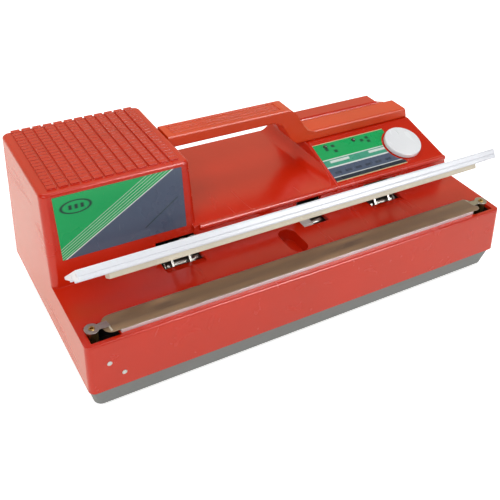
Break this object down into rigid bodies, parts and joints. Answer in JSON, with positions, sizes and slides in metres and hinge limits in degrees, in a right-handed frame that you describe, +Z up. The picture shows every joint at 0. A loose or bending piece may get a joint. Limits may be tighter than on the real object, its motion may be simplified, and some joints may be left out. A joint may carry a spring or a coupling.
{
  "type": "impulse heat sealer",
  "caption": "Bench-top impulse heat sealer: a press bar swings down and squeezes a plastic bag on a timed heating strip; tall housing, carrying handle and timer knob.",
  "frame": {"origin": "centre of the footprint, cord and plug included, at bench level under the rubber feet", "axes": "+X along the sealing strip to the operator's right, +Y to the back of the machine, +Z up"},
  "size_m": [0.3126, 0.1888, 0.1104],
  "materials": {
    "red_case": "gloss moulded ABS",
    "grey_case": "fine texture",
    "orange_handle": "grained moulded ABS",
    "printed_label": "printed and varnished",
    "aluminium_bar": "brushed",
    "glass_tape": "woven",
    "ribbon_steel": "rolled",
    "zinc_steel": "zinc plated",
    "brass_parts": "plated",
    "black_plastic": "matt",
    "release_cloth": "coated glass cloth",
    "white_bar": "powder coat",
    "silicone": "matt",
    "white_nylon": "satin",
    "spring_steel": "drawn wire",
    "core_iron": "varnished laminations",
    "copper_coil": "enamelled wire",
    "knob_plastic": "gloss moulded",
    "board": "coated laminate",
    "lamp_plastic": "diffused lens",
    "black_rubber": "matt"
  },
  "bodies": {
    "machine_body": {"upper_case": "red_case", "base_tray": "grey_case", "carry_handle": "orange_handle", "handle_screws": "zinc_steel", "front_label": "printed_label", "panel_label": "printed_label", "support_bar": "aluminium_bar", "insulation_tape": "glass_tape", "heating_element": "ribbon_steel", "element_eyelets": "zinc_steel", "terminal_blocks": "black_plastic", "element_posts": "brass_parts", "ptfe_cover": "release_cloth", "pivot_bracket_left": "zinc_steel", "pivot_bracket_right": "zinc_steel", "floor_screws": "zinc_steel", "return_spring_left": "spring_steel", "return_spring_right": "spring_steel", "microswitch": "black_plastic", "switch_bracket": "zinc_steel", "switch_screws": "zinc_steel", "transformer_core": "core_iron", "transformer_bobbin": "white_nylon", "transformer_coil": "copper_coil", "transformer_strap": "zinc_steel", "timer_potentiometer": "zinc_steel", "potentiometer_nut": "brass_parts", "circuit_board": "board", "relay": "black_plastic", "capacitor": "black_plastic", "indicator_lamps": "lamp_plastic", "board_screws": "zinc_steel", "strain_relief": "black_rubber", "power_cord": "black_rubber", "power_plug": "black_plastic", "plug_pins": "brass_parts", "fuse_holder": "black_plastic", "rubber_feet": "black_rubber", "base_screws": "zinc_steel", "front_rivets": "white_nylon"},
    "press": {"press_bar": "white_bar", "silicone_strip": "silicone", "press_arm_left": "zinc_steel", "press_arm_right": "zinc_steel", "press_bar_screws": "zinc_steel", "press_shaft": "zinc_steel", "shaft_clips": "zinc_steel", "trigger_cam": "white_nylon"},
    "timer_dial": {"timer_knob": "knob_plastic", "potentiometer_shaft": "brass_parts"},
    "switch_lever": {"microswitch_lever": "zinc_steel"}
  },
  "joints": [
    {"name": "press_hinge", "type": "hinge", "parent": "machine_body", "child": "press", "pos_m": [0, -0.03815, 0.044], "axis": [1, 0, 0], "range_deg": [0, 33.5], "deforming": ["return_spring_left", "return_spring_right"]},
    {"name": "timer_hinge", "type": "hinge", "parent": "machine_body", "child": "timer_dial", "pos_m": [0.1205, -0.01605, 0.07353], "axis": [0, -0.3173, 0.9483], "range_deg": [-135, 135]},
    {"name": "switch_lever_hinge", "type": "hinge", "parent": "machine_body", "child": "switch_lever", "pos_m": [0.0211, -0.00715, 0.047], "axis": [1, 0, 0], "range_deg": [-19.7, 0]}
  ],
  "couplings": [
    {"joint": "switch_lever_hinge", "follows": "press_hinge", "ratio": -0.58209}
  ]
}
